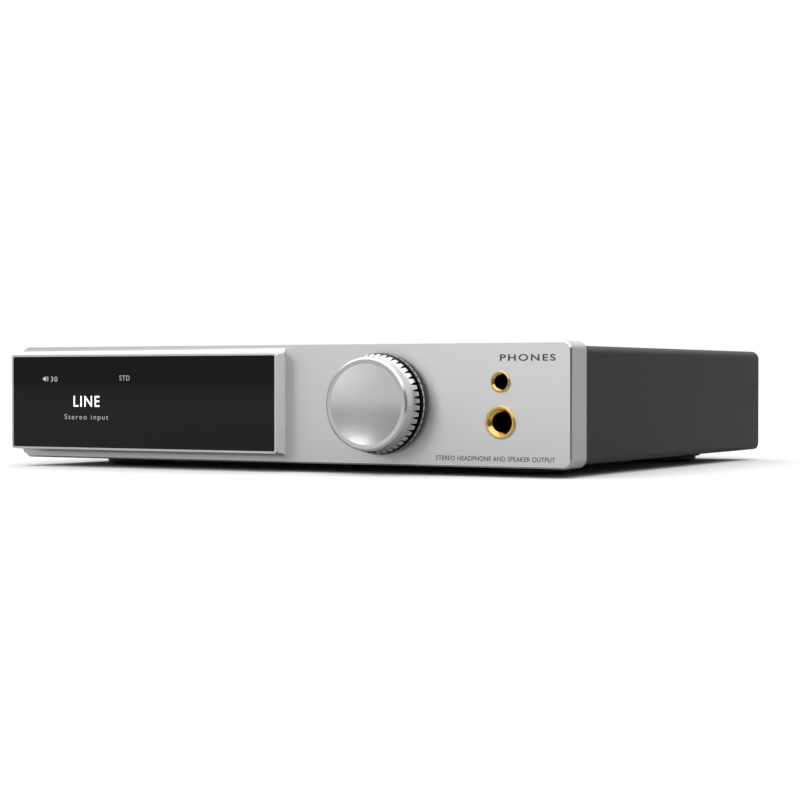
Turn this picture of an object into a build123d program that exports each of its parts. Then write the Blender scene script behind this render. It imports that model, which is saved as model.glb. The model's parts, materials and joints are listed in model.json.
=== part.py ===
from build123d import *
import math
import os

# Half-width desktop headphone amplifier with a speaker output.
# Millimetres. +Z is up, the front panel faces -Y, +X is the viewer's right.
# The origin is on the surface the feet stand on, at the middle of the plan outline.

# ---- driving dimensions: outside ----------------------------------------------------
PANEL_W = 216.8
PANEL_H = 40.0
PANEL_T = 11.5
PANEL_CORNER = 3.0
PANEL_CHAMFER = 0.5
PANEL_GAP = 3.0            # panel's lower edge above the floor
CASE_INSET = 1.3           # case sides and top inside the panel's outline
CASE_INSET_LOW = 0.9       # and its underside
CASE_END = 178.0           # panel face to the cover's rear edge
CASE_CORNER = 3.0
REAR_STEP = 0.5            # cover's rear edge overhangs the rear panel and the tray
COVER_WALL = 1.8
TRAY_T = 2.2
REAR_PANEL_T = 2.0

BEZEL_W = 112.8            # raised display block, flush with the panel's left side
BEZEL_H = 33.6
BEZEL_PROUD = 6.8
BEZEL_CORNER = 1.0
BEZEL_RIM = 0.8
BEZEL_EDGE = 0.2           # rounding of its front edge
BEZEL_COVE = 1.8           # hollow round where the block's top and bottom meet the face
BEZEL_LEAN = 0.9           # its right wall leans in by this much down to the face
GLASS_T = 1.1
GASKET_T = 0.3
WINDOW_W, WINDOW_H = 86.0, 24.0

KNOB_X = 41.4
KNOB_TOP = 11.7            # knob front plane ahead of the panel face
KNOB_BACK = 2.0            # clear of the panel by this much
KNOB_R_FRONT = 14.7
KNOB_R_BASE = 16.5
KNOB_FLUTES = 45
FLUTE_ROOT = 15.4          # radius of the skirt's flutes at their roots
RING_NOTCH_ROOT = 16.15    # and of the notches in the base ring
KNOB_RIM = 1.3             # flat ring round the dish
RING_TOP = 3.2             # base ring's front edge, ahead of the panel face
SKIRT_LOW = 4.8            # fluted skirt's rear edge; an undercut lies between them
KNOB_TRAVEL = 0.5
NUT_ROOM = 5.2             # depth of the hollow in the knob's back, from the panel face
SHAFT_TOP = 9.8

JACK_X = 84.0
JACK_44_RISE = 7.2         # 4.4 mm socket above the panel's middle line
JACK_635_DROP = 5.6        # 6.35 mm socket below it

TERMINAL_X = (30.0, 11.0, -8.0, -27.0)
TERMINAL_END = 195.5       # panel face to the binding posts' ends
RCA_X = (87.0, 69.0)
RCA_RISE = (10.0, -3.0)    # upper and lower socket, from the panel's middle line
USB_X = 51.0
INLET_X = -80.0
SWITCH_X = -52.0

FOOT_R_TOP, FOOT_R_LOW = 15.0, 13.2
FOOT_X, FOOT_FRONT, FOOT_REAR = 79.0, 33.0, 147.0
FOOT_WEB = 3.2             # underside of the foot's screw seat, above the floor
PAD_R, PAD_T = 11.4, 1.3

# ---- derived places -----------------------------------------------------------------
FACE_Y = -(TERMINAL_END - KNOB_TOP) / 2      # so that the outline is centred on Y = 0
MID_Z = PANEL_GAP + PANEL_H / 2
CASE_X = PANEL_W / 2 - CASE_INSET
CASE_LOW = PANEL_GAP + CASE_INSET_LOW
CASE_TOP = PANEL_GAP + PANEL_H - CASE_INSET
TRAY_TOP = CASE_LOW + TRAY_T
INNER_X = CASE_X - COVER_WALL
INNER_TOP = CASE_TOP - COVER_WALL
REAR_OUT = CASE_END - REAR_STEP              # outer face of the rear panel
REAR_IN = REAR_OUT - REAR_PANEL_T
BEZEL_X = -PANEL_W / 2 + BEZEL_W / 2

# ---- driving dimensions: inside -----------------------------------------------------
BOARD_T = 1.6
BOARD_LOW = 12.5           # underside of the main and supply boards above the floor
BOARD_TOP = BOARD_LOW + BOARD_T
CONTROL_BOARD_FRONT = 9.9  # behind the face
EAR_X0, EAR_X1, EAR_TOP, EAR_T = 96.5, 104.0, 38.2, 2.0
SCREW_X, SCREW_Z_LOW, SCREW_Z_HIGH = 100.0, 10.2, 35.8
LEDGE_W = 8.0
SCREW_R, SCREW_HEAD_R, SCREW_HEAD_T = 1.5, 2.8, 1.8
TAP_GAP = 0.05             # radial room between a screw and its threaded hole
MAIN_BOARD = (-22.0, 98.0, 50.0, 172.5)      # x0, x1, depth0, depth1
SUPPLY_BOARD = (-100.0, -28.0, 30.0, 140.0)
STANDOFFS = ((-17, 55), (92, 55), (-17, 168), (58, 158),
             (-92, 35), (-33, 35), (-92, 135), (-33, 135))
COVER_SCREWS = [(side * 101.0, d) for side in (-1, 1) for d in (30.0, 95.0, 155.0)]


# ---- helpers: d is always the distance behind the panel face ---------------------------
def block(x0, x1, d0, d1, z0, z1):
    centre = ((x0 + x1) / 2, FACE_Y + (d0 + d1) / 2, (z0 + z1) / 2)
    return Pos(*centre) * Box(x1 - x0, d1 - d0, z1 - z0)


def plate(profile, d0, d1, x=0.0, z=MID_Z):
    """A profile drawn in X and Z, extruded from depth d0 to depth d1."""
    return Pos(x, FACE_Y + d1, z) * Rot(90, 0, 0) * extrude(profile, d1 - d0)


def rod(radius, d0, d1, x, z):
    return plate(Circle(radius), d0, d1, x, z)


def post(radius, z0, z1, x, d):
    return Pos(x, FACE_Y + d, (z0 + z1) / 2) * Cylinder(radius, z1 - z0)


def turned(*profile):
    """A (radius, height) outline turned about the Z axis."""
    return revolve(Plane.XZ * Polygon(*profile, align=None), Axis.Z)


def forward(part, x, z=MID_Z):
    """Stand a part made along +Z on the panel face, pointing out of the front."""
    return Pos(x, FACE_Y, z) * Rot(90, 0, 0) * part


def backward(part, x, z=MID_Z):
    """The same from the panel face towards the rear: local height is the depth d."""
    return Pos(x, FACE_Y, z) * Rot(-90, 0, 0) * part


def group(parts):
    return Compound(children=[solid for part in parts for solid in part.solids()])


# ---- front panel and display ----------------------------------------------------------
def cove_profile():
    corner = Pos(BEZEL_COVE / 2, BEZEL_COVE / 2) * Rectangle(BEZEL_COVE, BEZEL_COVE)
    return Plane.XZ * (corner - Pos(BEZEL_COVE, BEZEL_COVE) * Circle(BEZEL_COVE))


def bezel_coves():
    """The hollow round along the top and bottom of the display block and round its corners."""
    left, right, half = -PANEL_W / 2, BEZEL_X + BEZEL_W / 2, BEZEL_H / 2
    bend_x, bend_y = right - BEZEL_CORNER, half - BEZEL_CORNER
    run = bend_x - left
    profile = cove_profile()
    corner = revolve(Pos(BEZEL_CORNER, 0, 0) * profile, Axis.Z, 90)
    return [
        Pos(left, half, 0) * Rot(0, 0, 90) * extrude(profile, run),
        Pos(bend_x, -half, 0) * Rot(0, 0, -90) * extrude(profile, run),
        Pos(bend_x, bend_y, 0) * corner,
        Pos(bend_x, -bend_y, 0) * Rot(0, 0, -90) * corner,
    ]


def bezel_side_cut():
    """What is milled away beside the display block, so that its right wall leans in."""
    right, edge = BEZEL_X + BEZEL_W / 2, BEZEL_PROUD - BEZEL_EDGE
    clear = right + 3
    profile = Polygon((right, edge), (right - BEZEL_LEAN, 0), (clear, 0), (clear, edge), align=None)
    return extrude(Plane.XZ * profile, PANEL_H / 2, both=True)


def front_panel():
    slab = Pos(0, 0, -PANEL_T) * extrude(RectangleRounded(PANEL_W, PANEL_H, PANEL_CORNER), PANEL_T)
    slab = chamfer(slab.faces().sort_by(Axis.Z)[-1].edges(), PANEL_CHAMFER)
    root = 2.0
    bezel = extrude(RectangleRounded(BEZEL_W, BEZEL_H, BEZEL_CORNER), BEZEL_PROUD + root)
    bezel = fillet(bezel.faces().sort_by(Axis.Z)[-1].edges(), BEZEL_EDGE)
    panel = slab + Pos(BEZEL_X, 0, -root) * bezel + bezel_coves() - bezel_side_cut()
    pocket = RectangleRounded(BEZEL_W - 2 * BEZEL_RIM, BEZEL_H - 2 * BEZEL_RIM, 0.6)
    seat = BEZEL_PROUD - GLASS_T - GASKET_T
    panel -= Pos(BEZEL_X, 0, seat) * extrude(pocket, GLASS_T + GASKET_T + 1)
    panel -= Pos(BEZEL_X, 0, -PANEL_T) * extrude(Rectangle(WINDOW_W, WINDOW_H), PANEL_T + seat)
    panel = forward(panel, 0)
    panel -= block(-95.5, 60.5, CONTROL_BOARD_FRONT, PANEL_T, MID_Z - 14.7, MID_Z + 14.7)
    panel -= block(KNOB_X - 8, KNOB_X + 8, 3.0, PANEL_T, MID_Z - 8, MID_Z + 8)
    panel -= rod(3.6, -1, PANEL_T, KNOB_X, MID_Z)
    panel -= rod(4.6, -1, PANEL_T, JACK_X, MID_Z - JACK_635_DROP)
    panel -= rod(3.1, -1, PANEL_T, JACK_X, MID_Z + JACK_44_RISE)
    panel -= block(JACK_X - 7.4, JACK_X + 7.4, 9.0, PANEL_T, 10.8, 36.6)
    for x, z in corner_screws():
        panel -= rod(SCREW_R + TAP_GAP, 5.0, PANEL_T, x, z)
    return panel


def corner_screws():
    return [(side * SCREW_X, z) for side in (-1, 1) for z in (SCREW_Z_LOW, SCREW_Z_HIGH)]


def display_glass():
    outline = RectangleRounded(BEZEL_W - 2 * BEZEL_RIM - 0.1, BEZEL_H - 2 * BEZEL_RIM - 0.1, 0.55)
    return plate(outline, -BEZEL_PROUD, GLASS_T - BEZEL_PROUD, BEZEL_X)


def display_gasket():
    outline = RectangleRounded(BEZEL_W - 2 * BEZEL_RIM - 0.3, BEZEL_H - 2 * BEZEL_RIM - 0.3, 0.5)
    opening = Rectangle(WINDOW_W + 0.6, WINDOW_H + 0.6)
    back = GLASS_T - BEZEL_PROUD
    return plate(outline - opening, back, back + GASKET_T, BEZEL_X)


def display_module():
    """The display panel and its metal frame, bonded to the back of the glass."""
    back = GLASS_T - BEZEL_PROUD
    body = plate(Rectangle(WINDOW_W - 1, WINDOW_H - 1), back, back + 3.2, BEZEL_X)
    tail = block(BEZEL_X - 9, BEZEL_X + 9, back + 3.2, CONTROL_BOARD_FRONT, MID_Z - 8, MID_Z - 7.6)
    return body + tail


def control_board():
    board = block(-95, 60, CONTROL_BOARD_FRONT, CONTROL_BOARD_FRONT + 1.5, MID_Z - 14.2, MID_Z + 14.2)
    for x in (-30.0, 5.0, 25.0):
        board += block(x, x + 9, CONTROL_BOARD_FRONT + 1.5, 13.2, MID_Z - 11, MID_Z - 3)
    return board


# ---- knob and encoder -------------------------------------------------------------------
def encoder_body():
    case = Pos(0, 0, -6.75) * Box(12.6, 13.4, 6.3)
    return forward(case - Pos(0, 0, -5.9) * Cylinder(4.0, 4.6), KNOB_X)


def encoder_bushing():
    sleeve = Pos(0, 0, -3.3) * Box(12.6, 13.4, 0.6) + Pos(0, 0, 0) * Cylinder(3.45, 6.0)
    return forward(sleeve - Cylinder(3.05, 10), KNOB_X)


def encoder_nut():
    nut = extrude(RegularPolygon(5.6, 6), 2.0) - Cylinder(3.5, 10)
    return forward(nut, KNOB_X)


def encoder_plunger():
    button = turned((0, -4.45), (3.2, -4.45), (3.2, -5.35), (1.0, -5.35), (1.0, -6.9), (0, -6.9))
    return forward(button, KNOB_X)


def encoder_shaft():
    shaft = turned((0, -4.4), (3.7, -4.4), (3.7, -3.8), (3.0, -3.8), (3.0, SHAFT_TOP - 0.3),
                   (2.7, SHAFT_TOP), (0, SHAFT_TOP))
    flat = Pos(0, -4.5, 8.0) * Box(8, 4, 5.6)
    return forward(shaft - flat, KNOB_X)


def flute(root):
    """The section of one V-shaped flute, opening outwards from its root radius."""
    return Polygon((root, 0), (root + 2, -1.25), (root + 2, 1.25), align=None)


def volume_knob():
    """Turned knob: dished face, smooth nose, fluted skirt, an undercut and a notched base ring."""
    body = turned(
        (0, KNOB_BACK), (KNOB_R_BASE - 0.25, KNOB_BACK), (KNOB_R_BASE, KNOB_BACK + 0.25),
        (KNOB_R_BASE, RING_TOP - 0.3), (KNOB_R_BASE - 0.35, RING_TOP), (15.1, RING_TOP + 0.1),
        (15.1, SKIRT_LOW - 0.1), (16.1, SKIRT_LOW), (16.2, SKIRT_LOW + 0.3), (16.1, 6.0),
        (15.5, 7.4), (15.3, 8.1), (15.1, KNOB_TOP - 0.6),
        (KNOB_R_FRONT, KNOB_TOP - 0.25), (KNOB_R_FRONT - 0.3, KNOB_TOP), (0, KNOB_TOP))
    dish_r, dish_depth = KNOB_R_FRONT - 0.3 - KNOB_RIM, 0.8
    ball = (dish_r ** 2 + dish_depth ** 2) / (2 * dish_depth)
    body -= Pos(0, 0, KNOB_TOP - dish_depth + ball) * Rot(90, 0, 0) * Sphere(ball)
    cutters = [Pos(0, 0, SKIRT_LOW - 0.8) * extrude(flute(FLUTE_ROOT), 5.0),
               Pos(0, 0, KNOB_BACK - 0.5) * extrude(flute(RING_NOTCH_ROOT), RING_TOP - KNOB_BACK + 0.9)]
    turns = [Rot(0, 0, 360 / KNOB_FLUTES * n) for n in range(KNOB_FLUTES)]
    body = body.cut(*[turn * cutter for turn in turns for cutter in cutters])
    body -= extrude(Circle(9.0), NUT_ROOM)
    body -= extrude(Circle(3.02), SHAFT_TOP + 0.1)
    hole = Rot(90, 0, 0) * Pos(0, 0, 10) * Cylinder(SCREW_R + TAP_GAP, 16)
    return forward(body - Pos(0, 0, 8.2) * hole, KNOB_X)


def knob_set_screw():
    screw = Rot(90, 0, 0) * Pos(0, 0, 5.3) * Cylinder(SCREW_R, 5.4)
    socket = Rot(90, 0, 0) * Pos(0, 0, 7.3) * extrude(RegularPolygon(0.85, 6), 1.5)
    return forward(Pos(0, 0, 8.2) * (screw - socket), KNOB_X)


# ---- headphone sockets ------------------------------------------------------------------
def jack_bushing(hole_r, mouth_r, flange_r, thread_r, flange_t):
    return turned(
        (hole_r, -9.0), (thread_r, -9.0), (thread_r, 0), (flange_r, 0),
        (flange_r, flange_t - 0.25), (flange_r - 0.25, flange_t),
        (mouth_r, flange_t), (hole_r, flange_t - (mouth_r - hole_r)))


def jack_635_bushing():
    return forward(jack_bushing(3.2, 4.4, 5.2, 4.5, 0.9), JACK_X, MID_Z - JACK_635_DROP)


def jack_44_bushing():
    return forward(jack_bushing(2.25, 2.85, 3.375, 3.0, 0.7), JACK_X, MID_Z + JACK_44_RISE)


def jack_housing(x_half, z_half, length, hole_r, z):
    """Moulded socket body: a blind plug hole and a row of solder pins towards the board."""
    body = block(JACK_X - x_half, JACK_X + x_half, 9.0, 9.0 + length, z - z_half, z + z_half)
    body -= rod(hole_r, 8.0, 6.0 + length, JACK_X, z)
    board_face = JACK_X - 7.1
    for d in (16.0, 22.0, 28.0):
        pin = block(board_face - 2.2, JACK_X - x_half, d - 0.4, d + 0.4, z - 3.4, z - 2.6)
        body += pin
    return body


def jack_635_housing():
    return jack_housing(6.9, 6.15, 32.0, 3.8, MID_Z - JACK_635_DROP)


def jack_44_housing():
    return jack_housing(6.4, 5.9, 24.0, 2.85, MID_Z + JACK_44_RISE)


def headphone_board():
    """Upright board beside the two sockets, pierced for their pins."""
    face = JACK_X - 7.1
    board = block(face - BOARD_T, face, 12.0, 46.0, 9.2, 38.0)
    for z in (MID_Z - JACK_635_DROP - 3, MID_Z + JACK_44_RISE - 3):
        for d in (16.0, 22.0, 28.0):
            board -= block(face - 3, face + 1, d - 0.5, d + 0.5, z - 0.5, z + 0.5)
    return board


# ---- case -------------------------------------------------------------------------------
def top_cover():
    """Folded cover: top, two sides and the ledges that stand on the tray."""
    height = CASE_TOP - TRAY_TOP
    middle = (CASE_TOP + TRAY_TOP) / 2
    outer = plate(Rectangle(2 * CASE_X, height), PANEL_T, CASE_END, 0, middle)
    top_edges = outer.edges().filter_by(Axis.Y).group_by(Axis.Z)[-1]
    outer = fillet(top_edges, CASE_CORNER)
    inner = plate(Rectangle(2 * INNER_X, INNER_TOP - TRAY_TOP + 2), PANEL_T - 1, CASE_END + 1,
                  0, (INNER_TOP + TRAY_TOP) / 2 - 1)
    inner = fillet(inner.edges().filter_by(Axis.Y).group_by(Axis.Z)[-1], CASE_CORNER - COVER_WALL)
    cover = outer - inner
    for side in (-1, 1):
        x0, x1 = sorted((side * INNER_X, side * (INNER_X - LEDGE_W)))
        cover += block(x0, x1, 16.0, 171.0, TRAY_TOP, TRAY_TOP + COVER_WALL)
    for x, d in COVER_SCREWS:
        cover -= post(SCREW_R + TAP_GAP, TRAY_TOP - 1, TRAY_TOP + 3, x, d)
    return cover


def vent_slots(x0, x1, d_mid, length):
    """A row of slots across the airflow, pitch 6 mm."""
    count = int((x1 - x0) // 6) + 1
    return [Pos(x0 + 6 * n, FACE_Y + d_mid, CASE_LOW - 1) * extrude(SlotOverall(length, 2.6, 90), 5)
            for n in range(count)]


def foot_places():
    return [(side * FOOT_X, d) for d in (FOOT_FRONT, FOOT_REAR) for side in (-1, 1)]


def bottom_tray():
    tray = plate(Rectangle(2 * CASE_X, TRAY_T), PANEL_T, REAR_OUT, 0, CASE_LOW + TRAY_T / 2)
    tray = fillet(tray.edges().filter_by(Axis.Y).group_by(Axis.Z)[0], TRAY_T - 0.2)
    for side in (-1, 1):
        x0, x1 = sorted((side * EAR_X0, side * EAR_X1))
        tray += block(x0, x1, PANEL_T, PANEL_T + EAR_T, TRAY_TOP, EAR_TOP)
        tray += block(x0, x1, REAR_IN - EAR_T, REAR_IN, TRAY_TOP, EAR_TOP)
    for x, z in corner_screws():
        tray -= rod(SCREW_R + TAP_GAP, PANEL_T - 1, PANEL_T + EAR_T + 1, x, z)
        tray -= rod(SCREW_R + TAP_GAP, REAR_IN - EAR_T - 1, REAR_IN + 1, x, z)
    for x, d in foot_places():
        tray -= post(SCREW_R + TAP_GAP, 0, 20, x, d)
    for x, d in COVER_SCREWS:
        sink = turned((0, -1), (3.3, -1), (3.3, 0), (1.6, 1.7), (1.6, TRAY_T + 1), (0, TRAY_T + 1))
        tray -= Pos(x, FACE_Y + d, CASE_LOW) * sink
    tray = tray.cut(*vent_slots(12, 62, 112, 44), *vent_slots(-86, -44, 80, 44))
    return tray


def rear_panel():
    outline_h = INNER_TOP - TRAY_TOP - 0.2
    middle = TRAY_TOP + 0.1 + outline_h / 2
    panel = plate(Rectangle(2 * INNER_X - 0.2, outline_h), REAR_IN, REAR_OUT, 0, middle)
    panel = fillet(panel.edges().filter_by(Axis.Y).group_by(Axis.Z)[-1], CASE_CORNER - COVER_WALL)
    cut = (REAR_IN - 1, REAR_OUT + 1)
    panel -= plate(Rectangle(27.4, 20.0), *cut, INLET_X)
    panel -= plate(Rectangle(13.0, 19.0), *cut, SWITCH_X)
    panel -= plate(SlotOverall(9.5, 3.8), *cut, USB_X, BOARD_TOP + 1.7)
    for x in TERMINAL_X:
        panel -= rod(4.4, *cut, x, MID_Z)
    for x in RCA_X:
        for rise in RCA_RISE:
            panel -= rod(4.6, *cut, x, MID_Z + rise)
    for x, z in corner_screws():
        panel -= rod(SCREW_R + 0.15, *cut, x, z)
    return panel


# ---- fasteners ----------------------------------------------------------------------------
def pan_screw(length):
    """Cross-recessed pan-head screw along Z, its head above z = 0."""
    screw = turned((0, -length), (SCREW_R - 0.4, -length), (SCREW_R, 0.4 - length), (SCREW_R, 0),
                   (SCREW_HEAD_R, 0), (SCREW_HEAD_R, SCREW_HEAD_T - 0.6),
                   (SCREW_HEAD_R - 0.6, SCREW_HEAD_T), (0, SCREW_HEAD_T))
    recess = Pos(0, 0, SCREW_HEAD_T) * (Box(2.8, 0.7, 1.8) + Box(0.7, 2.8, 1.8))
    return screw - recess


def panel_screws():
    ear_back = PANEL_T + EAR_T
    return group(backward(Pos(0, 0, ear_back) * pan_screw(7.5), x, z) for x, z in corner_screws())


def rear_screws():
    return group(backward(Pos(0, 0, REAR_OUT) * pan_screw(6.0), x, z) for x, z in corner_screws())


def cover_screws():
    """Countersunk screws up through the tray into the cover's ledges."""
    screw = turned((0, 0), (3.1, 0), (3.1, 0.1), (SCREW_R, 1.6), (SCREW_R, 3.8), (0, 3.8))
    recess = Box(3.2, 0.7, 2.0) + Box(0.7, 3.2, 2.0)
    return group(Pos(x, FACE_Y + d, CASE_LOW) * (screw - recess) for x, d in COVER_SCREWS)


def foot_screws():
    screw = Rot(180, 0, 0) * pan_screw(6.0)
    return group(Pos(x, FACE_Y + d, FOOT_WEB) * screw for x, d in foot_places())


def board_standoffs():
    height = BOARD_LOW - TRAY_TOP
    pillar = extrude(RegularPolygon(3.0, 6), height) - Cylinder(1.25, 40)
    return group(Pos(x, FACE_Y + d, TRAY_TOP) * pillar for x, d in STANDOFFS)


def board_screws():
    screw = Pos(0, 0, BOARD_TOP) * turned((0, -5), (1.2, -5), (1.2, 0), (2.6, 0), (2.6, 1.2), (2.0, 1.8), (0, 1.8))
    recess = Pos(0, 0, BOARD_TOP + 1.8) * (Box(2.6, 0.6, 1.6) + Box(0.6, 2.6, 1.6))
    return group(Pos(x, FACE_Y + d, 0) * (screw - recess) for x, d in STANDOFFS)


# ---- feet -----------------------------------------------------------------------------------
def foot(x, d):
    """Two-tier foot with a well for its screw and a seat for the rubber pad."""
    body = turned(
        (SCREW_R + 0.1, CASE_LOW), (FOOT_R_TOP, CASE_LOW), (FOOT_R_TOP, 2.6), (FOOT_R_TOP - 0.4, 2.2),
        (FOOT_R_LOW, 2.2), (FOOT_R_LOW, 0.9), (FOOT_R_LOW - 0.4, 0.5), (PAD_R + 0.2, 0.5),
        (PAD_R + 0.2, PAD_T), (3.2, PAD_T), (3.2, FOOT_WEB), (SCREW_R + 0.1, FOOT_WEB))
    return Pos(x, FACE_Y + d, 0) * body


def foot_pads():
    pad = turned((0, 0), (PAD_R - 0.3, 0), (PAD_R, 0.3), (PAD_R, PAD_T), (0, PAD_T))
    return group(Pos(x, FACE_Y + d, 0) * pad for x, d in foot_places())


# ---- boards and parts on them -----------------------------------------------------------------
def board(extent):
    x0, x1, d0, d1 = extent
    sheet = block(x0, x1, d0, d1, BOARD_LOW, BOARD_TOP)
    for x, d in STANDOFFS:
        if x0 < x < x1 and d0 < d < d1:
            sheet -= post(1.6, 0, 40, x, d)
    return sheet


def main_board():
    return board(MAIN_BOARD)


def supply_board():
    return board(SUPPLY_BOARD)


def amplifier_chips():
    return group(block(x, x + 14, 108, 122, BOARD_TOP, BOARD_TOP + 3) for x in (18, 42))


def amplifier_heatsink():
    base_low, base_top, fin_top = BOARD_TOP + 3, BOARD_TOP + 6.5, INNER_TOP - 3
    sink = block(10, 64, 95, 135, base_low, base_top)
    fins = 10
    pitch = (54 - 1.6) / (fins - 1)
    for n in range(fins):
        x = 10 + pitch * n
        sink += block(x, x + 1.6, 95, 135, base_top, fin_top)
    return sink


def output_inductors():
    coil = Cylinder(7.0, 12.0) - Cylinder(2.4, 13.0)
    coil = fillet(coil.edges().filter_by(GeomType.CIRCLE).sort_by(SortBy.RADIUS)[-2:], 2.0)
    return group(Pos(x, FACE_Y + 147, BOARD_TOP + 6) * coil for x in (-6, 12, 30, 48))


def can(radius, height):
    """Electrolytic can: rolled neck at the foot and a scored top."""
    body = turned((0, 0), (radius, 0), (radius, 1.2), (radius - 0.4, 1.9), (radius, 2.6),
                  (radius, height - 0.5), (radius - 0.5, height), (0, height))
    return body - Pos(0, 0, height) * (Box(radius, 0.5, 0.6) + Box(0.5, radius, 0.6))


def power_capacitors():
    cans = [Pos(80, FACE_Y + d, BOARD_TOP) * can(6.25, 21) for d in (72, 88, 104, 120)]
    cans.append(Pos(-46, FACE_Y + 118, BOARD_TOP) * can(11, 23))
    return group(cans)


def processor_chips():
    places = ((-8, 70, 6.0), (14, 68, 4.5), (34, 66, 5.0), (56, 70, 4.0), (-8, 100, 3.5), (-8, 125, 4.5))
    return group(block(x - s, x + s, d - s, d + s, BOARD_TOP, BOARD_TOP + 1.4) for x, d, s in places)


def transformer_core():
    outer = block(-86, -54, 58, 80, BOARD_TOP + 1, BOARD_TOP + 23)
    window = block(-82, -58, 57, 81, BOARD_TOP + 5, BOARD_TOP + 19)
    leg = block(-74, -66, 58, 80, BOARD_TOP + 4, BOARD_TOP + 20)
    return outer - window + leg


def transformer_winding():
    """Bobbin and winding round the core's middle leg, with its pins to the board."""
    middle = BOARD_TOP + 12
    coil = Pos(-70, FACE_Y + 69, middle) * extrude(RectangleRounded(23.6, 33.0, 5.0), 6.9, both=True)
    coil -= block(-74.1, -65.9, 57.9, 80.1, BOARD_TOP, BOARD_TOP + 30)
    for x in (-79.0, -61.0):
        for d in (53.6, 84.4):
            coil += block(x - 1.2, x + 1.2, d - 0.9, d + 0.9, BOARD_TOP, middle - 6)
    return coil


def ribbon_cable():
    """Flat lead from the control board's connector to the main board's."""
    near = block(24, 46, 11.4, 17.0, MID_Z - 3, MID_Z + 3)
    near -= block(24, 46, 11.3, 12.6, MID_Z - 8, MID_Z + 8)
    far = block(24, 46, 54, 60, BOARD_TOP, BOARD_TOP + 5)
    path = Polyline((17.0, MID_Z), (24.0, MID_Z), (44.0, BOARD_TOP + 2.5), (54.0, BOARD_TOP + 2.5))
    band = extrude(Plane.YZ * trace(path, 0.8), 20)
    return group([near, far, Pos(25, FACE_Y, 0) * band])


# ---- rear: mains inlet and switch ----------------------------------------------------------------
def blade_places():
    """Live, neutral and earth blades: x and z of each centre."""
    return ((INLET_X - 7, MID_Z - 2), (INLET_X + 7, MID_Z - 2), (INLET_X, MID_Z + 2))


def mains_inlet():
    """Three-pole appliance inlet: flange, body and a cavity with two clipped corners."""
    body = plate(RectangleRounded(31, 24, 2), REAR_OUT, REAR_OUT + 2, INLET_X)
    body += plate(Rectangle(27, 19.6), REAR_OUT - 19, REAR_OUT, INLET_X)
    cavity = Rectangle(24.2, 16.6)
    cavity = chamfer(cavity.vertices().group_by(Axis.Y)[-1], 4.2)
    body -= plate(cavity, REAR_OUT - 16, REAR_OUT + 3, INLET_X)
    for x, z in blade_places():
        body -= block(x - 1.02, x + 1.02, REAR_OUT - 20, REAR_OUT - 15, z - 2.02, z + 2.02)
    return body


def inlet_blades():
    return group(block(x - 1, x + 1, REAR_OUT - 26, REAR_OUT - 1.5, z - 2, z + 2)
                 for x, z in blade_places())


ROCKER_PIVOT = REAR_OUT - 3.5
ROCKER_TILT = 9.0
ROCKER_R = 8.1


def switch_housing():
    body = plate(RectangleRounded(15, 21, 1), REAR_OUT, REAR_OUT + 1.6, SWITCH_X)
    body += plate(Rectangle(12.6, 18.6), REAR_OUT - 14, REAR_OUT, SWITCH_X)
    body -= plate(Rectangle(11.0, 16.6), REAR_OUT - 9.5, REAR_OUT + 3, SWITCH_X)
    y = FACE_Y + ROCKER_PIVOT
    body -= Pos(SWITCH_X, y, MID_Z) * Rot(0, 90, 0) * Cylinder(1.05, 12.4)
    for z in (MID_Z - 5, MID_Z + 5):
        body += block(SWITCH_X - 2.4, SWITCH_X + 2.4, REAR_OUT - 21, REAR_OUT - 14, z - 0.4, z + 0.4)
    return body


def power_rocker():
    """Rocker on two trunnions, tipped to its on position at rest."""
    roof = Polygon((-3.6, -3.2), (-1.0, -9), (6.4, -9), (5.2, 0), (6.4, 9), (-1.0, 9), (-3.6, 3.2), align=None)
    rocker = extrude(roof, 5.25, both=True)
    rocker &= Cylinder(ROCKER_R, 20)
    rocker += Cylinder(1.0, 12.2)
    rocker = Rot(0, 0, -ROCKER_TILT) * rocker
    to_switch = Plane((SWITCH_X, FACE_Y + ROCKER_PIVOT, MID_Z), x_dir=(0, 1, 0), z_dir=(1, 0, 0))
    return to_switch * rocker


def mains_leads():
    """Three insulated leads inside the case, with their ends crimped on the blades and tabs."""
    inlet_end, switch_end = REAR_OUT - 26, REAR_OUT - 21
    routes = (
        ((INLET_X + 7, inlet_end, MID_Z - 2), (INLET_X + 7, inlet_end - 6, MID_Z - 2),
         (SWITCH_X - 6, switch_end - 8, MID_Z - 5), (SWITCH_X, switch_end - 6, MID_Z - 5),
         (SWITCH_X, switch_end, MID_Z - 5)),
        ((INLET_X - 7, inlet_end, MID_Z - 2), (INLET_X - 7, inlet_end - 9, MID_Z - 2),
         (INLET_X - 7, 134.0, BOARD_TOP + 3), (INLET_X - 7, 130.0, BOARD_TOP + 1.3)),
        ((SWITCH_X, switch_end, MID_Z + 5), (SWITCH_X, switch_end - 8, MID_Z + 5),
         (INLET_X + 16, 138.0, BOARD_TOP + 5), (INLET_X + 14, 130.0, BOARD_TOP + 1.3)),
    )
    return group(lead(route, 1.2) for route in routes)


def lead(route, radius):
    corners = [(x, FACE_Y + d, z) for x, d, z in route]
    path = FilletPolyline(*corners, radius=2.2)
    start = Plane(path @ 0, z_dir=path % 0)
    return sweep(start * Circle(radius), path)


# ---- rear: speaker terminals ----------------------------------------------------------------------
BASE_T = 2.0
CAP_START = REAR_OUT + BASE_T + 1.0
CAP_END = TERMINAL_END - 0.5
STUD_R, STUD_CLEAR, BANANA_R, BANANA_DEPTH = 3.0, 0.05, 2.02, 12.3


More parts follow.
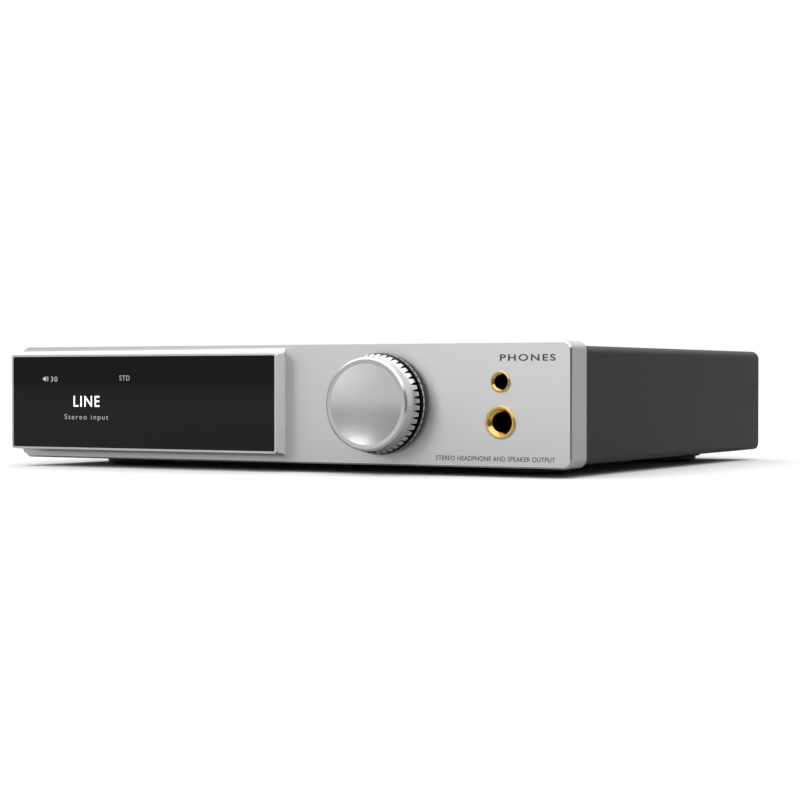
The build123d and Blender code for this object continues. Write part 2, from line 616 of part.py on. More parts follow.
def terminal_base():
    middle = (TERMINAL_X[0] + TERMINAL_X[-1]) / 2
    base = plate(RectangleRounded(81, 21, 2), REAR_OUT, REAR_OUT + BASE_T, middle)
    for x in TERMINAL_X:
        base += rod(4.2, REAR_IN - 2, REAR_OUT, x, MID_Z)
        base -= rod(STUD_R + 0.02, REAR_IN - 3, REAR_OUT + 9, x, MID_Z)
    return base


def terminal_posts():
    """Studs with a hexagon shoulder inside the case, a wire hole and a 4 mm socket in the end."""
    shoulder = REAR_IN - 2
    stud = Pos(0, 0, 165) * extrude(Circle(STUD_R), TERMINAL_END - 165)
    stud += Pos(0, 0, shoulder - 3) * extrude(RegularPolygon(5.4, 6), 3)
    stud -= Pos(0, 0, TERMINAL_END - BANANA_DEPTH) * extrude(Circle(BANANA_R), BANANA_DEPTH + 1)
    stud -= Pos(0, 0, CAP_START + 1.3) * Rot(90, 0, 0) * Cylinder(1.1, 10)
    return group(backward(stud, x) for x in TERMINAL_X)


def terminal_washer(x):
    low = REAR_OUT + BASE_T + 0.1
    ring = turned((STUD_R + STUD_CLEAR, low), (5.6, low), (5.6, low + 0.8), (STUD_R + STUD_CLEAR, low + 0.8))
    return backward(ring, x)


def terminal_cap(x):
    """Screw cap: plain collar, fluted grip and a chamfered end round the stud."""
    bore = STUD_R + STUD_CLEAR
    body = turned((bore, CAP_START), (6.5, CAP_START), (6.7, CAP_START + 0.2), (6.7, CAP_START + 2.6),
                  (6.3, CAP_START + 3.0), (6.3, CAP_END - 0.9), (5.4, CAP_END), (bore, CAP_END))
    flutes = 16
    flute = Pos(7.15, 0, CAP_START + 4.2) * extrude(Circle(1.2), 20)
    body = body.cut(*[Rot(0, 0, 360 / flutes * n) * flute for n in range(flutes)])
    return backward(body, x)


# ---- rear: signal sockets --------------------------------------------------------------------------
def rca_places():
    return [(x, MID_Z + rise) for x in RCA_X for rise in RCA_RISE]


def rca_bodies():
    blocks = []
    for x in RCA_X:
        body = block(x - 7, x + 7, 160, REAR_IN, BOARD_TOP, INNER_TOP - 0.8)
        for rise in RCA_RISE:
            body -= rod(4.17, 165, REAR_IN + 1, x, MID_Z + rise)
        blocks.append(body)
    return group(blocks)


def rca_shells():
    shell = turned((3.4, 166), (4.15, 166), (4.15, REAR_OUT), (5.4, REAR_OUT), (5.4, REAR_OUT + 0.8),
                   (4.15, REAR_OUT + 0.8), (4.15, 184.6), (3.75, 185), (3.4, 185))
    return group(backward(shell, x, z) for x, z in rca_places())


def rca_inserts():
    core = turned((0, 166), (3.38, 166), (3.38, 184), (2.2, 184), (1.65, 183.4), (1.65, 174), (0, 174))
    return group(backward(core, x, z) for x, z in rca_places())


def usb_socket():
    z = BOARD_TOP + 1.7
    shell = plate(SlotOverall(8.94, 3.26), 168.5, REAR_OUT + 0.2, USB_X, z)
    shell -= plate(SlotOverall(8.3, 2.56), 170.0, REAR_OUT + 2, USB_X, z)
    tongue = plate(Rectangle(6.7, 0.7), 170.0, REAR_OUT - 1, USB_X, z)
    return group([shell, tongue])


# ---- writing ---------------------------------------------------------------------------------------
def all_nodes():
    makers = [
        front_panel, display_glass, display_gasket, display_module, control_board,
        encoder_body, encoder_bushing, encoder_nut, encoder_plunger, encoder_shaft,
        volume_knob, knob_set_screw,
        jack_635_bushing, jack_635_housing, jack_44_bushing, jack_44_housing, headphone_board,
        top_cover, bottom_tray, rear_panel,
        panel_screws, rear_screws, cover_screws, foot_screws, board_standoffs, board_screws,
        foot_pads, main_board, supply_board,
        amplifier_chips, amplifier_heatsink, output_inductors, power_capacitors, processor_chips,
        transformer_core, transformer_winding, ribbon_cable,
        mains_inlet, inlet_blades, switch_housing, power_rocker, mains_leads,
        terminal_base, terminal_posts, rca_bodies, rca_shells, rca_inserts, usb_socket,
    ]
    nodes = {maker.__name__: maker() for maker in makers}
    corners = ("front_left", "front_right", "rear_left", "rear_right")
    for name, (x, d) in zip(corners, foot_places()):
        nodes["foot_" + name] = foot(x, d)
    for number, x in enumerate(TERMINAL_X, start=1):
        nodes[f"terminal_washer_{number}"] = terminal_washer(x)
        nodes[f"terminal_cap_{number}"] = terminal_cap(x)
    return nodes


os.makedirs("parts", exist_ok=True)
for name, shape in all_nodes().items():
    export_step(shape, os.path.join("parts", name + ".step"))
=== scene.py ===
"""Desktop headphone amplifier: materials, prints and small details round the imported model.

Metres, in the CAD model's own frame: +Z up, the front panel faces -Y, +X is the viewer's right.
"""
import json
import math

import bpy
from mathutils import Matrix, Vector


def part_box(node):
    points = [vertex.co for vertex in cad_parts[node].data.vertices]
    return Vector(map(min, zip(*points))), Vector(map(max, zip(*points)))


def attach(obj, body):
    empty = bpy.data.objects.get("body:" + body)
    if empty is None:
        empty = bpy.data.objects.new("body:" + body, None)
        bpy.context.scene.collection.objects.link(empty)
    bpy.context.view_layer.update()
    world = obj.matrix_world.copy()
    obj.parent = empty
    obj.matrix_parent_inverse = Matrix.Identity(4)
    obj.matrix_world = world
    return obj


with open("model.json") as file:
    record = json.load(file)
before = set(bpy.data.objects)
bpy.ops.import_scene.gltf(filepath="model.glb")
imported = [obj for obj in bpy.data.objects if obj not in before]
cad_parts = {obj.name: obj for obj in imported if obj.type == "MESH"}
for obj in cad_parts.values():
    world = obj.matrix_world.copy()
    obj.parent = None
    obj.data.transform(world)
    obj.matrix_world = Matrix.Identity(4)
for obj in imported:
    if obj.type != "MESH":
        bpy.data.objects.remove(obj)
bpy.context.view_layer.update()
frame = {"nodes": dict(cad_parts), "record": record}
nodes = frame["nodes"]
MM = 0.001

# ---- places, all from the frame ---------------------------------------------------------
panel_low, panel_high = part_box("front_panel")
glass_low, glass_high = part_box("display_glass")
knob_low, knob_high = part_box("volume_knob")
jack_low, jack_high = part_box("jack_635_bushing")
rear_low, rear_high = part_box("rear_panel")
RIGHT = panel_high.x
FLANGE = 0.9 * MM                          # the larger socket's flange stands this far out of the face
FACE = jack_low.y + FLANGE
MIDDLE = (panel_low.z + panel_high.z) / 2
GLASS = glass_low.y
REAR = rear_high.y
KNOB_X, KNOB_Z = (knob_low.x + knob_high.x) / 2, (knob_low.z + knob_high.z) / 2
HAIR = 0.02 * MM                           # room for rounding when a place is compared with a plane
INK = 0.01 * MM                            # how far a print stands out of its surface


# ---- shader helper ------------------------------------------------------------------------
class Shader:
    """A node material with one Principled shader and short calls for the nodes round it."""

    def __init__(self, name, color, roughness, metallic=0.0, **sockets):
        self.material = bpy.data.materials.new(name)
        self.material.use_nodes = True
        self.tree = self.material.node_tree
        self.bsdf = self.tree.nodes["Principled BSDF"]
        self.bsdf.inputs["Base Color"].default_value = (*color, 1.0)
        self.bsdf.inputs["Roughness"].default_value = roughness
        self.bsdf.inputs["Metallic"].default_value = metallic
        for socket, value in sockets.items():
            self.bsdf.inputs[socket.replace("_", " ")].default_value = value
        self.place = self.node("ShaderNodeTexCoord").outputs["Object"]
        self.last_bump = None

    def node(self, kind, **settings):
        made = self.tree.nodes.new(kind)
        for name, value in settings.items():
            setattr(made, name, value)
        return made

    def feed(self, socket, value):
        if isinstance(value, bpy.types.NodeSocket):
            self.tree.links.new(value, socket)
        else:
            socket.default_value = value

    def math(self, operation, a, b=0.0):
        made = self.node("ShaderNodeMath", operation=operation)
        for socket, value in zip(made.inputs, (a, b)):
            self.feed(socket, value)
        return made.outputs[0]

    def axis(self, name):
        split = self.node("ShaderNodeSeparateXYZ")
        self.feed(split.inputs[0], self.place)
        return split.outputs[name]

    def along(self, name):
        """How far the smooth surface's normal points along one of the object's axes."""
        split = self.node("ShaderNodeSeparateXYZ")
        self.feed(split.inputs[0], self.node("ShaderNodeTexCoord").outputs["Normal"])
        return split.outputs[name]

    def facing(self, name):
        """How far the surface's own normal points along an axis, without its sign."""
        split = self.node("ShaderNodeSeparateXYZ")
        self.feed(split.inputs[0], self.node("ShaderNodeNewGeometry").outputs["True Normal"])
        return self.math("ABSOLUTE", split.outputs[name])

    def both(self, a, b):
        return self.math("MULTIPLY", a, b)

    def vector(self, x, y=0.0, z=0.0):
        made = self.node("ShaderNodeCombineXYZ")
        for socket, value in zip(made.inputs, (x, y, z)):
            self.feed(socket, value)
        return made.outputs[0]

    def radius(self, x, z):
        """Distance from an axis along Y."""
        dx = self.math("SUBTRACT", self.axis("X"), x)
        dz = self.math("SUBTRACT", self.axis("Z"), z)
        return self.math("SQRT", self.math("ADD", self.both(dx, dx), self.both(dz, dz)))

    def noise(self, scale, detail=2.0, vector=None):
        made = self.node("ShaderNodeTexNoise")
        self.feed(made.inputs["Vector"], vector or self.place)
        made.inputs["Scale"].default_value = scale
        made.inputs["Detail"].default_value = detail
        return made.outputs["Fac"]

    def spread(self, value, low, high, start=0.0, end=1.0):
        made = self.node("ShaderNodeMapRange")
        self.feed(made.inputs["Value"], value)
        made.inputs["From Min"].default_value = start
        made.inputs["From Max"].default_value = end
        self.feed(made.inputs["To Min"], low)
        self.feed(made.inputs["To Max"], high)
        return made.outputs[0]

    def mix(self, factor, low, high):
        made = self.node("ShaderNodeMix", data_type="RGBA")
        self.feed(made.inputs["Factor"], factor)
        self.feed(made.inputs[6], low if isinstance(low, bpy.types.NodeSocket) else (*low, 1.0))
        self.feed(made.inputs[7], high if isinstance(high, bpy.types.NodeSocket) else (*high, 1.0))
        return made.outputs[2]

    def rough(self, value):
        self.feed(self.bsdf.inputs["Roughness"], value)

    def tint(self, value):
        self.feed(self.bsdf.inputs["Base Color"], value)

    def bump(self, height, strength, depth):
        made = self.node("ShaderNodeBump")
        made.inputs["Strength"].default_value = strength
        made.inputs["Distance"].default_value = depth
        self.feed(made.inputs["Height"], height)
        if self.last_bump:
            self.feed(made.inputs["Normal"], self.last_bump)
        self.last_bump = made.outputs[0]
        self.feed(self.bsdf.inputs["Normal"], self.last_bump)


# ---- materials -----------------------------------------------------------------------------
def silver_anodised():
    """Bead-blasted anodised aluminium: the display block is smoother and lighter, partly its own polish and
    partly painted light against the shade beside its walls; the narrow chamfer cut bright.
    """
    s = Shader("silver_anodised", (0.68, 0.682, 0.687), 0.45, 1.0)
    chamfer_depth = 0.5 * MM
    depth = s.axis("Y")
    tilted = s.math("LESS_THAN", s.facing("Y"), 0.97)
    behind_face = s.math("GREATER_THAN", depth, FACE - HAIR)
    before_side = s.math("LESS_THAN", depth, FACE + chamfer_depth + HAIR)
    chamfer = s.both(tilted, s.both(behind_face, before_side))
    milled = s.math("LESS_THAN", depth, FACE - HAIR)
    grain = s.noise(5200, 3.0)
    broad = s.noise(60, 2.0)
    satin = s.math("ADD", s.spread(grain, 0.40, 0.50), s.spread(broad, -0.015, 0.015))
    s.rough(s.spread(chamfer, s.spread(milled, satin, 0.27), 0.12))
    blasted = s.mix(s.spread(grain, 0, 1, 0.3, 0.7), (0.66, 0.662, 0.667), (0.705, 0.707, 0.712))
    # painted light, in part: the display block's lighter tint also lifts the shade at its walls and in their
    # reflection on the face
    s.tint(s.mix(milled, blasted, (0.81, 0.812, 0.817)))
    s.bump(grain, 0.12, 0.02 * MM)
    return s.material


def knob_metal():
    """Turned aluminium: fine circular tool marks on the dish, satin sides, painted shade on the flutes'
    flanks and in the groove between skirt and ring.
    """
    skirt_front, skirt_back, ring_front = FACE - 8.2 * MM, FACE - 4.75 * MM, FACE - 3.22 * MM
    dish_depth = 1.0 * MM                      # a little more than the dish has
    middle_spot = 1.2 * MM                     # tool marks fade out this near the axis
    # dark is painted shade, used on the flutes' flanks and in the groove
    bright, dark = (0.76, 0.76, 0.765), (0.045, 0.047, 0.05)
    s = Shader("knob_metal", bright, 0.24, 1.0)
    radius = s.radius(KNOB_X, KNOB_Z)
    depth = s.axis("Y")
    rings = s.noise(14000, 1.0, s.vector(radius))
    front = s.math("LESS_THAN", depth, knob_low.y + dish_depth)
    dished = s.both(front, s.math("GREATER_THAN", radius, middle_spot))
    grain = s.noise(6000, 2.0)
    s.rough(s.spread(front, s.spread(grain, 0.22, 0.30), 0.16))
    s.bump(s.spread(dished, grain, rings), 0.04, 0.01 * MM)
    # a flute's flanks turn away from the axis; its crests and the plain nose face straight out
    out_x = s.both(s.along("X"), s.math("SUBTRACT", s.axis("X"), KNOB_X))
    out_z = s.both(s.along("Z"), s.math("SUBTRACT", s.axis("Z"), KNOB_Z))
    outward = s.math("DIVIDE", s.math("ADD", out_x, out_z), radius)
    flank = s.spread(outward, 1.0, 0.0, 0.70, 0.85)
    fluted = s.math("GREATER_THAN", depth, skirt_front)
    ahead_of_ring = s.math("LESS_THAN", depth, ring_front)
    behind_skirt = s.math("GREATER_THAN", depth, skirt_back)
    # painted shade: the flanks and the groove between skirt and ring are tinted dark as if in shadow
    painted_recess_shade = s.math("MAXIMUM", s.both(fluted, flank), s.both(ahead_of_ring, behind_skirt))
    s.tint(s.mix(painted_recess_shade, bright, dark))
    return s.material


def black_glass():
    """Gloss black lens with the faintest smears in its polish."""
    s = Shader("black_glass", (0.004, 0.0041, 0.0045), 0.03, 0.0, IOR=1.34)
    s.rough(s.spread(s.noise(35, 3.0), 0.02, 0.05))
    return s.material


def powder_coat(name, color, roughness):
    """Fine-textured black powder coat: tiny rounded grains and slow changes of gloss."""
    s = Shader(name, color, roughness, Specular_IOR_Level=0.32)
    grain = s.noise(2600, 2.0)
    broad = s.noise(45, 3.0)
    fine = s.spread(grain, roughness - 0.04, roughness + 0.06)
    s.rough(s.math("ADD", fine, s.spread(broad, -0.02, 0.02)))
    s.tint(s.mix(s.spread(grain, 0, 1, 0.35, 0.65), tuple(c * 0.88 for c in color),
                 tuple(c * 1.12 for c in color)))
    s.bump(grain, 0.25, 0.03 * MM)
    return s.material


def moulded(name, color, roughness, grain_scale=3200, gloss=0.0):
    """Moulded plastic: a faint spark-eroded grain and a little variation in colour."""
    s = Shader(name, color, roughness, Coat_Weight=gloss, Coat_Roughness=0.12)
    grain = s.noise(grain_scale, 2.0)
    s.rough(s.spread(grain, roughness - 0.05, roughness + 0.07))
    s.tint(s.mix(s.noise(80, 2.0), tuple(c * 0.9 for c in color), tuple(c * 1.1 for c in color)))
    s.bump(grain, 0.15, 0.02 * MM)
    return s.material


def plated(name, color, roughness):
    """Plated metal with fine turning marks and soft smudges in the polish."""
    s = Shader(name, color, roughness, 1.0)
    marks = s.noise(7000, 2.0)
    smudge = s.noise(300, 3.0)
    soft = s.spread(smudge, roughness - 0.03, roughness + 0.05)
    s.rough(s.math("ADD", soft, s.spread(marks, -0.01, 0.01)))
    s.tint(s.mix(smudge, tuple(c * 0.94 for c in color), color))
    s.bump(marks, 0.04, 0.01 * MM)
    return s.material


def circuit_board():
    """Dark green solder mask over a faint pattern of tracks."""
    s = Shader("circuit_board", (0.01, 0.07, 0.035), 0.35, 0.0, Coat_Weight=0.4, Coat_Roughness=0.2)
    brick = s.node("ShaderNodeTexBrick")
    brick.inputs["Scale"].default_value = 220
    brick.inputs["Mortar Size"].default_value = 0.04
    s.feed(brick.inputs["Vector"], s.place)
    s.tint(s.mix(brick.outputs["Fac"], (0.008, 0.055, 0.028), (0.02, 0.12, 0.06)))
    s.bump(brick.outputs["Fac"], 0.3, 0.03 * MM)
    return s.material


def rca_insulator():
    """White for left, red for right, black for the subwoofer, orange for the coaxial input."""
    s = Shader("rca_insulator", (0.8, 0.8, 0.78), 0.3)
    left_low, left_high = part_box("rca_inserts")
    upper = s.math("GREATER_THAN", s.axis("Z"), (left_low.z + left_high.z) / 2)
    outer = s.math("GREATER_THAN", s.axis("X"), (left_low.x + left_high.x) / 2)
    line = s.mix(upper, (0.55, 0.015, 0.012), (0.78, 0.78, 0.75))
    other = s.mix(upper, (0.75, 0.2, 0.02), (0.02, 0.02, 0.02))
    s.tint(s.mix(outer, other, line))
    s.rough(s.spread(s.noise(2500), 0.25, 0.38))
    return s.material


def capacitor_sleeve():
    """Dark sleeve with a bare aluminium top."""
    s = Shader("capacitor_sleeve", (0.02, 0.03, 0.06), 0.35)
    top = s.math("GREATER_THAN", s.facing("Z"), 0.6)
    s.feed(s.bsdf.inputs["Metallic"], top)
    s.tint(s.mix(top, (0.02, 0.03, 0.06), (0.7, 0.7, 0.7)))
    s.rough(s.spread(s.noise(900), 0.3, 0.42))
    return s.material


def winding_tape():
    s = Shader("winding_tape", (0.75, 0.55, 0.08), 0.3, 0.0, Coat_Weight=0.5)
    turns = s.node("ShaderNodeTexWave", bands_direction="Z")
    turns.inputs["Scale"].default_value = 300
    s.feed(turns.inputs["Vector"], s.place)
    s.tint(s.mix(turns.outputs["Fac"], (0.6, 0.42, 0.05), (0.8, 0.62, 0.12)))
    s.bump(turns.outputs["Fac"], 0.3, 0.1 * MM)
    return s.material


def printed(name, color, glow=0.0):
    """Screen-printed ink, or lit display segments when it glows."""
    s = Shader(name, color, 0.5)
    s.bsdf.inputs["Emission Color"].default_value = (*color, 1.0)
    s.bsdf.inputs["Emission Strength"].default_value = glow
    s.tint(s.mix(s.noise(4000, 1.0), tuple(c * 0.92 for c in color), color))
    return s.material


def make_materials():
    return {
        "silver_anodised": silver_anodised(),
        "knob_metal": knob_metal(),
        "black_glass": black_glass(),
        "case_black": powder_coat("case_black", (0.012, 0.0122, 0.0126), 0.42),
        "rear_black": powder_coat("rear_black", (0.012, 0.0122, 0.0126), 0.44),
        "black_plastic": moulded("black_plastic", (0.02, 0.02, 0.021), 0.42),
        "foot_plastic": moulded("foot_plastic", (0.018, 0.018, 0.019), 0.5),
        "pad_rubber": moulded("pad_rubber", (0.015, 0.015, 0.015), 0.8, 900),
        "gasket_foam": moulded("gasket_foam", (0.015, 0.015, 0.015), 0.85, 1500),
        "rocker_plastic": moulded("rocker_plastic", (0.018, 0.018, 0.018), 0.25, 3000, 0.3),
        "terminal_red": moulded("terminal_red", (0.42, 0.012, 0.012), 0.25, 2600, 0.5),
        "terminal_black": moulded("terminal_black", (0.015, 0.015, 0.016), 0.25, 2600, 0.5),
        "chip_epoxy": moulded("chip_epoxy", (0.02, 0.02, 0.02), 0.55),
        "lead_insulation": moulded("lead_insulation", (0.16, 0.06, 0.03), 0.45),
        "ribbon_white": moulded("ribbon_white", (0.7, 0.7, 0.66), 0.5),
        "ferrite": moulded("ferrite", (0.05, 0.05, 0.053), 0.6, 1800),
        "gold_plate": plated("gold_plate", (0.85, 0.58, 0.2), 0.11),
        "brass": plated("brass", (0.72, 0.55, 0.26), 0.25),
        "nickel_steel": plated("nickel_steel", (0.62, 0.61, 0.58), 0.25),
        "black_steel": plated("black_steel", (0.045, 0.045, 0.047), 0.38),
        "display_metal": plated("display_metal", (0.4, 0.4, 0.42), 0.35),
        "heatsink_aluminium": plated("heatsink_aluminium", (0.08, 0.08, 0.085), 0.45),
        "circuit_board": circuit_board(),
        "rca_insulator": rca_insulator(),
        "capacitor_sleeve": capacitor_sleeve(),
        "winding_tape": winding_tape(),
    }


def dress_nodes(materials):
    """Give every CAD node its slot's material and smooth its curved faces."""
    slot_of = {entry["node"]: entry["material_slot"] for entry in frame["record"]["subparts"]}
    for name, piece in nodes.items():
        piece.data.materials.clear()
        piece.data.materials.append(materials[slot_of[name]])
        piece.data.shade_smooth()
        piece.data.set_sharp_from_angle(angle=math.radians(28))
    # the panel's wide flats keep one direction of shading right up to the display block's hollows
    even = nodes["front_panel"].modifiers.new("even_normals", "WEIGHTED_NORMAL")
    even.keep_sharp = True
    even.weight = 100


# ---- prints ----------------------------------------------------------------------------------
FRONT_TURN = Matrix.Rotation(math.radians(90), 4, "X")
REAR_TURN = Matrix.Rotation(math.radians(180), 4, "Z") @ FRONT_TURN


def lay_mesh(name, mesh, turn, place, material, body):
    """Stand a flat mesh drawn in X and Y on a front or rear surface."""
    mesh.transform(Matrix.Translation(Vector(place)) @ turn)
    piece = bpy.data.objects.new(name, mesh)
    bpy.context.scene.collection.objects.link(piece)
    mesh.materials.clear()
    mesh.materials.append(material)
    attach(piece, body)


def words(name, text, width, height, place, material, turn=FRONT_TURN, spacing=1.0, weight=0.0):
    """Lettering of a given overall width and capital height, its lower left corner at place."""
    half_thick = 0.004                         # in the built-in font's own units, like the next
    capital = 0.729                            # height of its capitals
    curve = bpy.data.curves.new(name, "FONT")
    curve.body = text
    curve.size = 1.0
    curve.extrude = half_thick
    curve.offset = weight
    curve.space_character = spacing
    curve.resolution_u = 6
    maker = bpy.data.objects.new(name, curve)
    bpy.context.scene.collection.objects.link(maker)
    graph = bpy.context.evaluated_depsgraph_get()
    mesh = bpy.data.meshes.new_from_object(maker.evaluated_get(graph))
    bpy.data.objects.remove(maker)
    xs = [v.co.x for v in mesh.vertices]
    wide, tall, thin = width / (max(xs) - min(xs)), height / capital, INK / half_thick
    mesh.transform(Matrix.Diagonal((wide, tall, thin, 1.0)) @ Matrix.Translation((-min(xs), 0, 0)))
    lay_mesh(name, mesh, turn, place, material, "chassis")


def outline(name, points, place, material):
    """A flat closed shape with a little thickness, drawn in X and Y and stood on the front."""
    count = len(points)
    low = [(x, y, 0.0) for x, y in points]
    high = [(x, y, INK) for x, y in points]
    faces = [tuple(range(count, 2 * count)), tuple(reversed(range(count)))]
    faces += [(i, (i + 1) % count, count + (i + 1) % count, count + i) for i in range(count)]
    mesh = bpy.data.meshes.new(name)
    mesh.from_pydata(low + high, [], faces)
    lay_mesh(name, mesh, FRONT_TURN, place, material, "chassis")


def front_prints(ink, lit, dim):
    """The panel's two printed lines and what the lit display shows."""
    on_face = FACE - INK
    words("print_phones", "PHONES", 19.3 * MM, 2.1 * MM,
          (RIGHT - 24.7 * MM, on_face, MIDDLE + 13.85 * MM), ink, spacing=1.25, weight=0.02)
    words("print_function", "STEREO HEADPHONE AND SPEAKER OUTPUT", 42.1 * MM, 1.55 * MM,
          (RIGHT - 47.6 * MM, on_face, MIDDLE - 17.9 * MM), ink, spacing=1.05, weight=0.01)
    on_glass = GLASS - 0.012 * MM
    small, slim = 1.9 * MM, -0.012             # height and stroke of the display's small characters
    words("display_source", "LINE", 11.4 * MM, 4.0 * MM,
          (RIGHT - 188.8 * MM, on_glass, MIDDLE - 1.6 * MM), lit, spacing=1.18, weight=0.006)
    words("display_note", "Stereo input", 19.2 * MM, small,
          (RIGHT - 192.8 * MM, on_glass, MIDDLE - 6.1 * MM), dim, spacing=1.25, weight=slim)
    words("display_level", "30", 3.0 * MM, small,
          (RIGHT - 199.0 * MM, on_glass, MIDDLE + 7.15 * MM), dim, spacing=1.1, weight=slim)
    words("display_mode", "STD", 4.3 * MM, small,
          (RIGHT - 168.7 * MM, on_glass, MIDDLE + 7.55 * MM), dim, spacing=1.15, weight=slim)
    symbol = (RIGHT - 202.5 * MM, on_glass, MIDDLE + 7.15 * MM)
    speaker = [(0, 0.62), (0.55, 0.62), (1.25, 0.0), (1.25, 2.0), (0.55, 1.38), (0, 1.38)]
    outline("display_speaker", [(x * MM, y * MM) for x, y in speaker], symbol, dim)
    centre_x, centre_y, half_line = 1.2, 1.0, 0.1
    for n, reach in enumerate((0.62, 1.14), start=1):
        wave = []
        for edge, order in ((reach + half_line, 1), (reach - half_line, -1)):
            arc = [math.radians(a) for a in range(-50, 51, 20)][::order]
            wave += [(centre_x + edge * math.cos(a), centre_y + edge * math.sin(a)) for a in arc]
        outline(f"display_wave_{n}", [(x * MM, y * MM) for x, y in wave], symbol, dim)


def rear_label(name, text, width, height, x, z, ink):
    """A white label on the rear panel, centred on x; it reads from behind."""
    words(name, text, width, height, (x + width / 2, REAR + INK, z), ink, REAR_TURN)


def rear_prints(ink):
    """Plain words by each rear socket."""
    high, heading = 1.2 * MM, 1.3 * MM         # letter heights
    flange = 5.4 * MM                          # radius of a phono socket's flange
    shell_low, shell_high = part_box("rca_shells")
    line_x, other_x = shell_high.x - flange, shell_low.x + flange
    upper, lower = shell_high.z - flange, shell_low.z + flange
    above, between = rear_high.z - 1.22 * MM, (upper + lower) / 2 - 0.5 * MM
    rear_label("label_line", "LINE IN", 7.4 * MM, 1.0 * MM, line_x, above, ink)
    rear_label("label_sub", "SUB OUT", 8.0 * MM, 1.0 * MM, other_x, above, ink)
    rear_label("label_left", "L", 0.8 * MM, high, line_x - 7.2 * MM, upper, ink)
    rear_label("label_right", "R", 0.8 * MM, high, line_x - 7.2 * MM, lower, ink)
    rear_label("label_coax", "COAX IN", 8.0 * MM, high, other_x, between, ink)
    usb_low, usb_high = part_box("usb_socket")
    rear_label("label_usb", "USB", 4.2 * MM, high, (usb_low.x + usb_high.x) / 2, usb_high.z + 2 * MM, ink)
    base_low, base_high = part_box("terminal_base")
    middle, below = (base_low.x + base_high.x) / 2, base_low.z - 3 * MM
    pair = 19 * MM                             # from the middle to each pair of terminals
    rear_label("label_speakers", "SPEAKERS", 10.5 * MM, heading, middle, base_high.z + 1.6 * MM, ink)
    rear_label("label_speaker_left", "LEFT", 5.0 * MM, high, middle + pair, below, ink)
    rear_label("label_speaker_right", "RIGHT", 6.2 * MM, high, middle - pair, below, ink)
    switch_low, switch_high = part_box("switch_housing")
    switch_x = (switch_low.x + switch_high.x) / 2
    rear_label("label_power", "POWER", 7.4 * MM, heading, switch_x, switch_high.z + 1.6 * MM, ink)


# ---- stage -----------------------------------------------------------------------------------
OVERHEAD = 1.45                            # radiance of the studio's ceiling
# radiance round the horizon, by compass bearing in degrees from +X towards +Y
HORIZON = ((-180, 0.5), (-150, 0.44), (-132, 0.35), (-119, 0.40), (-107, 0.34), (-90, 0.42), (-75, 1.0),
           (-62, 2.4), (-52, 1.5), (-42, 0.24), (-29, 0.13), (0, 0.18), (35, 0.3), (61, 0.42), (100, 0.5),
           (140, 0.52))
PAINTED_POOL = (0.06, FACE - 0.26, 0.0)            # centre of a pool of light painted into the floor's reflected colour, in front


def plain_floor():
    """White where it is seen. In reflections and bounced light it is painted grey, with painted shade darker
    near the face, a painted dark patch right of the panel and a painted pool of light in front.
    """
    half = 6.0
    near, far = 0.06, 0.20                     # distances ahead of the face
    pool_middle, pool_edge = 0.08, 0.17        # radii of the painted pool of light
    fade = 0.03                                # width of the edges of the painted dark patch
    corners = [(-half, -half, 0), (half, -half, 0), (half, half, 0), (-half, half, 0)]
    mesh = bpy.data.meshes.new("floor")
    mesh.from_pydata(corners, [], [(0, 1, 2, 3)])
    floor = bpy.data.objects.new("floor", mesh)
    bpy.context.scene.collection.objects.link(floor)
    s = Shader("floor_white", (0.95, 0.95, 0.95), 0.9)
    seen = s.node("ShaderNodeLightPath").outputs["Is Camera Ray"]
    # painted shade: away from the camera the floor is darker nearer the face
    ahead = s.spread(s.axis("Y"), 1.0, 0.0, FACE - far, FACE - near)
    reflected = s.mix(ahead, (0.38, 0.38, 0.385), (0.45, 0.45, 0.45))
    # painted pool of light in the floor's reflected colour
    from_pool = s.node("ShaderNodeVectorMath", operation="DISTANCE")
    s.feed(from_pool.inputs[0], s.place)
    from_pool.inputs[1].default_value = PAINTED_POOL
    lit = s.spread(from_pool.outputs["Value"], 0.0, 1.0, pool_edge, pool_middle)
    reflected = s.mix(lit, reflected, (0.95, 0.95, 0.95))
    # painted shade: a dark patch right of the panel, in everything but the camera's view
    beside = s.both(s.spread(s.axis("X"), 0.0, 1.0, RIGHT, RIGHT + fade),
                    s.spread(s.axis("Y"), 1.0, 0.0, FACE - fade, FACE))
    reflected = s.mix(beside, reflected, (0.13, 0.13, 0.133))
    s.tint(s.mix(seen, reflected, (0.95, 0.95, 0.95)))
    s.rough(s.spread(s.noise(8), 0.85, 0.95))
    mesh.materials.append(s.material)


def softbox(name, bearing, height, reach, width, tall, power):
    """A rectangular lamp aimed at the front beside the knob, placed by bearing and elevation in degrees."""
    light = bpy.data.lights.new(name, "AREA")
    light.shape = "RECTANGLE"
    light.size, light.size_y = width, tall
    light.energy = power
    lamp = bpy.data.objects.new(name, light)
    bpy.context.scene.collection.objects.link(lamp)
    target = Vector((0.03, FACE, MIDDLE))
    flat, up = math.radians(bearing), math.radians(height)
    way = Vector((math.cos(up) * math.cos(flat), math.cos(up) * math.sin(flat), math.sin(up)))
    lamp.location = target + reach * way
    lamp.rotation_euler = (-way).to_track_quat("-Z", "Y").to_euler()
    lamp.visible_camera = False


def grey(level):
    return (level, level, level, 1.0)


def ramp(tree, factor, stops):
    """A grey colour ramp through (position, level) stops."""
    made = tree.nodes.new("ShaderNodeValToRGB")
    band = made.color_ramp
    band.interpolation = "EASE"
    band.elements[0].position, band.elements[1].position = stops[0][0], stops[-1][0]
    band.elements[0].color, band.elements[1].color = grey(stops[0][1]), grey(stops[-1][1])
    for position, level in stops[1:-1]:
        band.elements.new(position).color = grey(level)
    tree.links.new(factor, made.inputs[0])
    return made.outputs[0]


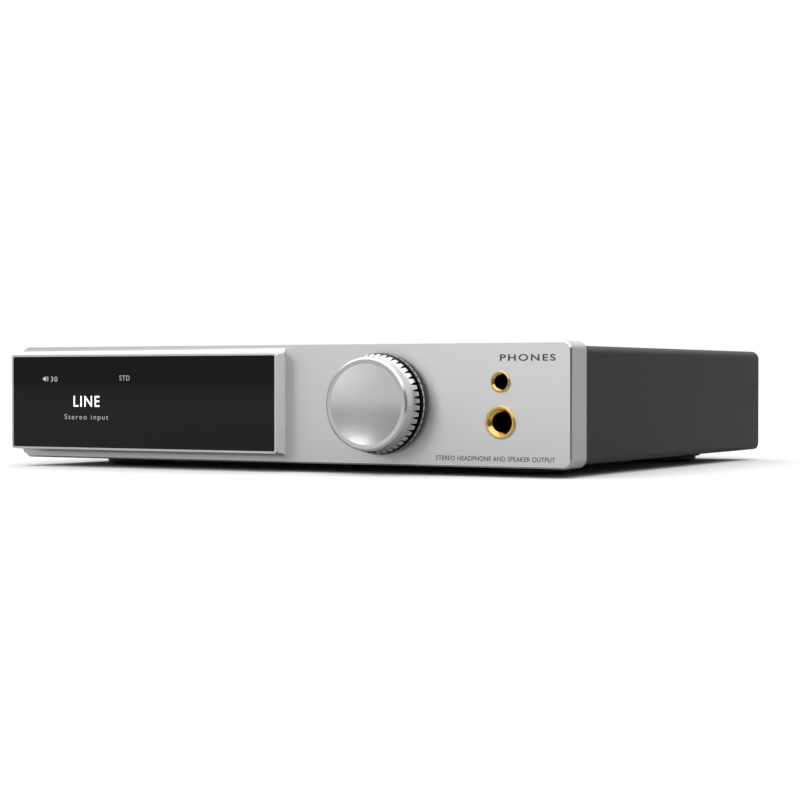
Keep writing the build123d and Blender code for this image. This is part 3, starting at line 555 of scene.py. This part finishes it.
def studio_world():
    """A bright ceiling over a horizon whose greys change with the bearing; plain white behind."""
    world = bpy.data.worlds.new("studio")
    bpy.context.scene.world = world
    world.use_nodes = True
    tree = world.node_tree
    background = tree.nodes["Background"]
    split = tree.nodes.new("ShaderNodeSeparateXYZ")
    tree.links.new(tree.nodes.new("ShaderNodeTexCoord").outputs["Generated"], split.inputs[0])
    bearing = tree.nodes.new("ShaderNodeMath")
    bearing.operation = "ARCTAN2"
    tree.links.new(split.outputs["Y"], bearing.inputs[0])
    tree.links.new(split.outputs["X"], bearing.inputs[1])
    turn = tree.nodes.new("ShaderNodeMapRange")
    tree.links.new(bearing.outputs[0], turn.inputs["Value"])
    turn.inputs["From Min"].default_value = -math.pi
    turn.inputs["From Max"].default_value = math.pi
    around = [((angle + 180) / 360, level) for angle, level in HORIZON] + [(1.0, HORIZON[0][1])]
    level = ramp(tree, turn.outputs[0], around)
    height = ramp(tree, split.outputs["Z"], ((0.0, 0.0), (0.28, 0.0), (0.62, 1.0), (1.0, 1.0)))
    sky = tree.nodes.new("ShaderNodeMix")
    sky.data_type = "RGBA"
    tree.links.new(height, sky.inputs["Factor"])
    tree.links.new(level, sky.inputs[6])
    sky.inputs[7].default_value = grey(OVERHEAD)
    seen = tree.nodes.new("ShaderNodeMix")
    seen.data_type = "RGBA"
    tree.links.new(tree.nodes.new("ShaderNodeLightPath").outputs["Is Camera Ray"], seen.inputs["Factor"])
    tree.links.new(sky.outputs[2], seen.inputs[6])
    seen.inputs[7].default_value = grey(1.0)
    tree.links.new(seen.outputs[2], background.inputs["Color"])


def camera():
    """Long lens just above the floor, off the front right corner."""
    data = bpy.data.cameras.new("camera")
    data.lens = 90.5
    data.sensor_width = 36
    data.clip_start = 0.01
    eye = bpy.data.objects.new("camera", data)
    bpy.context.scene.collection.objects.link(eye)
    eye.location = (RIGHT + 257.4 * MM, FACE - 569.4 * MM, 31.0 * MM)
    eye.rotation_euler = (math.radians(90 - 0.59), 0, math.radians(29.2))
    bpy.context.scene.camera = eye


# ---- making ----------------------------------------------------------------------------------
camera()
studio_world()
plain_floor()
softbox("front_low", bearing=-113, height=18.5, reach=2.4, width=0.72, tall=0.72, power=6.4)
bpy.context.scene.view_settings.view_transform = "Standard"

materials = make_materials()
dress_nodes(materials)
front_prints(printed("print_grey", (0.045, 0.045, 0.048)), printed("display_white", (0.9, 0.92, 0.95), 1.0),
             printed("display_grey", (0.5, 0.52, 0.55), 0.45))
rear_prints(printed("print_white", (0.75, 0.75, 0.75)))
